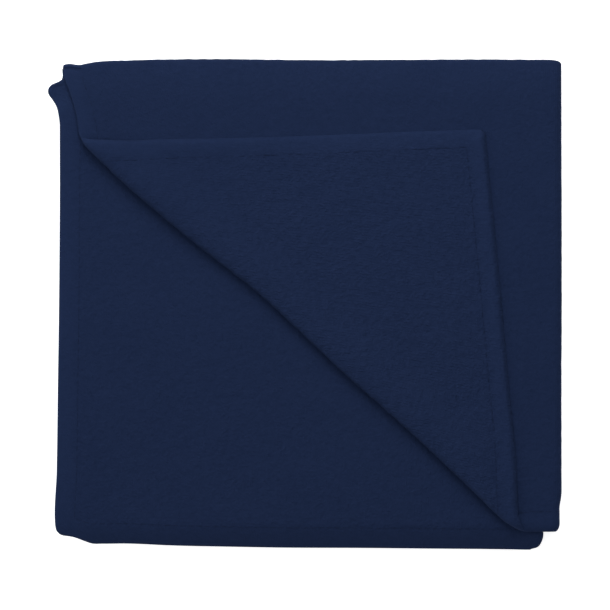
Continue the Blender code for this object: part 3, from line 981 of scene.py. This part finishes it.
def make_top_leaf():
    """Leaf 8 as one cloth, bent down at the back and rolled over along the diagonal, in three pieces."""
    flat, cloth_at, faces = flat_top_leaf()
    edge = np.maximum(np.minimum(cloth_at[:, 0] - TOP_LEFT, cloth_at[:, 1] + TOP_DEPTH), 0)
    across = (flat - FOLD_POINT) @ OUTWARD
    along = (flat - FOLD_POINT) @ ALONG
    over = smooth(across, 0, 4 * MM)
    by_apex = smooth(-along, 45 * MM, 110 * MM)
    upper, in_hem = cloth_halves(edge, TOP_HEM, SHOWN_PILE, cloth_at)
    lower, _ = cloth_halves(edge, TOP_HEM_BELOW, HIDDEN_PILE, cloth_at + OTHER_FACE)
    resting = RIM_DROP + 0.07 * MM * np.sqrt(np.clip(edge / (0.4 * MM), 0, 1))
    down = lofty_half(edge, across, by_apex, cloth_at) * over + lower * (1 - over)
    up = resting * over + upper * (1 - over)
    # The turned corner's share of deeper pile and of painted sheen, which lightens its colour; less towards
    # its upper left end, which leaves that end darker as painted shade
    loft_and_sheen = over * (1 - 0.8 * by_apex)
    middle = turned(flat)
    normals = turned_normals(flat)
    made = []
    middles = [across[face].mean() for face in faces]
    for name, low, high in (("top_leaf", -FAR, 0), ("corner_roll", 0, ROLL), ("corner_cloth", ROLL, FAR)):
        chosen = [face for face, at in zip(faces, middles) if low < at < high]
        used = np.unique(np.concatenate([np.array(face) for face in chosen]))
        place = np.zeros(len(flat), int)
        place[used] = np.arange(len(used))
        chosen = [place[face].tolist() for face in chosen]
        made.append(shell(
            name, middle[used], normals[used], (up[used], down[used]), chosen,
            cloth_at[used], in_hem[used], loft_and_sheen[used], CLOTH,
        ))
    return made


def top_seam_rows():
    """The top leaf's two rows of stitches, each cut where its cloth is cut: before, on and past the roll."""
    fine_v = np.linspace(SEAM_AT, TOP_DEPTH * 0.985, SEAM_POINTS)
    fine_u = np.linspace(SEAM_AT, TOP_WIDTH * 0.999, SEAM_POINTS)
    at_seam = np.full(SEAM_POINTS, SEAM_AT)
    half = np.full(SEAM_POINTS, PLY / 2 + TOP_HEM_BELOW)
    rows = ([], [], [])
    for u, v in ((at_seam, fine_v), (fine_u, at_seam)):
        flat = top_plan(u, v)
        across = (flat - FOLD_POINT) @ OUTWARD
        path = turned(flat)
        normals = turned_normals(flat)
        for kept, row in zip((across < 0, (across > 0) & (across < ROLL), across > ROLL), rows):
            row.append((path[kept], normals[kept], half[kept]))
    return rows


# -------------------- the pieces, and what each rides on

lower_cloth, lower_seams = make_lower_cloth()
outer_wrap, outer_seams = make_outer_wrap()
inner_wrap, inner_seams = make_inner_wrap()
middle_leaves, middle_seams = make_middle_leaves()
seventh_leaf, seventh_seams = make_seventh_leaf()
top_leaf, corner_roll, corner_cloth = make_top_leaf()
top_rows, roll_rows, corner_rows = top_seam_rows()

lower_seam = seam_piece("lower_seam", lower_seams, SEAM)
upper_seam = seam_piece("upper_seam", middle_seams + seventh_seams, SEAM)
outer_wrap_seam = seam_piece("outer_wrap_seam", outer_seams, SEAM)
inner_wrap_seam = seam_piece("inner_wrap_seam", inner_seams, SEAM)
top_seam = seam_piece("top_seam", top_rows, SEAM)
roll_seam = seam_piece("roll_seam", roll_rows, SEAM)
corner_seam = seam_piece("corner_seam", corner_rows, SEAM)

for piece in (lower_cloth, lower_seam):
    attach(piece, "lower_packet")
for piece in (middle_leaves, seventh_leaf, upper_seam, top_leaf, top_seam):
    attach(piece, "upper_packet")
for piece in (corner_cloth, corner_seam):
    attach(piece, "corner_flap")

for piece in (outer_wrap, outer_wrap_seam):
    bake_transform(piece)
for piece in (inner_wrap, inner_wrap_seam):
    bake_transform(piece)
for piece in (corner_roll, roll_seam):
    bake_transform(piece)

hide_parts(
    "leaf_1", "leaf_2", "leaf_3", "leaf_4", "front_hem_1", "front_hem_2", "front_hem_3",
    "front_hem_4", "back_fold_1_2", "back_fold_3_4", "left_fold_1_4", "left_fold_2_3",
    "left_fold_hem_1_4", "left_fold_hem_2_3",
)
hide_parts("front_stitch_1", "front_stitch_2", "front_stitch_3", "front_stitch_4")
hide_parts("right_fold_1_8", "right_fold_2_7", "right_fold_hem_1_8", "right_fold_hem_2_7")
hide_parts("right_fold_3_6", "right_fold_4_5", "right_fold_hem_3_6", "right_fold_hem_4_5")
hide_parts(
    "leaf_5", "leaf_6", "front_hem_5", "front_hem_6", "side_hem_5", "side_hem_6",
    "back_fold_5_6",
)
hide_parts("leaf_7", "front_hem_7", "side_hem_7")
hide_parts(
    "front_stitch_5", "front_stitch_6", "front_stitch_7",
    "side_stitch_5", "side_stitch_6", "side_stitch_7",
)
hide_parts("leaf_8", "side_hem_8", "back_fold_7_8")
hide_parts("corner_bend")
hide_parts("turned_corner", "corner_hem_back", "corner_hem_side")
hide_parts("side_stitch_8")
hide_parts("corner_stitch_back", "corner_stitch_side")

# -------------------- floor, light and camera

FLOOR_HALF = 6.0
FLOOR_GAP = 0.4 * MM
WORLD_STRENGTH = 0.34
CAMERA_PLACE = (-1.56 * MM, 0.26 * MM, 3.012)
VIEW_DISTANCE = 3.0
VIEW_WIDTH = 0.3172
SENSOR = 36


def make_floor():
    """A white floor just under the towel, bright enough to be pure white."""
    mesh = bpy.data.meshes.new("floor")
    corners = [(x * FLOOR_HALF, y * FLOOR_HALF, 0) for x, y in ((-1, -1), (1, -1), (1, 1), (-1, 1))]
    mesh.from_pydata(corners, [], [(0, 1, 2, 3)])
    material, _, _, shader = new_material("floor_white")
    shader.inputs["Base Color"].default_value = (0.85, 0.85, 0.85, 1)
    shader.inputs["Roughness"].default_value = 0.9
    shader.inputs["Emission Color"].default_value = (1, 1, 1, 1)
    shader.inputs["Emission Strength"].default_value = 0.75
    floor = link_piece("floor", mesh, material)
    floor.location = (0, 0, -FLOOR_GAP)


def make_light(name, place, size, power):
    """A square lamp that points at the middle of the towel."""
    data = bpy.data.lights.new(name, "AREA")
    data.shape = "SQUARE"
    data.size = size
    data.energy = power
    light = bpy.data.objects.new(name, data)
    light.location = place
    aim = Vector((0, 0, 0)) - Vector(place)
    light.rotation_mode = "QUATERNION"
    light.rotation_quaternion = aim.to_track_quat("-Z", "Y")
    bpy.context.scene.collection.objects.link(light)


def make_world():
    world = bpy.data.worlds.new("studio")
    world.use_nodes = True
    background = world.node_tree.nodes["Background"]
    background.inputs["Color"].default_value = (1, 1, 1, 1)
    background.inputs["Strength"].default_value = WORLD_STRENGTH
    bpy.context.scene.world = world


def make_camera():
    """Straight down from far above."""
    data = bpy.data.cameras.new("camera")
    data.sensor_width = SENSOR
    data.lens = data.sensor_width * VIEW_DISTANCE / VIEW_WIDTH
    data.clip_start = 0.1
    data.clip_end = 20
    camera = bpy.data.objects.new("camera", data)
    camera.location = CAMERA_PLACE
    bpy.context.scene.collection.objects.link(camera)
    bpy.context.scene.camera = camera


make_floor()
make_light("key", place=(-0.02, 0.80, 0.72), size=0.70, power=8.4)
make_light("side", place=(-2.0, 0.2, 1.1), size=1.2, power=17)
make_light("overhead", place=(0, 0, 2.4), size=2.2, power=9)
make_world()
make_camera()
bpy.context.scene.view_settings.view_transform = "Standard"
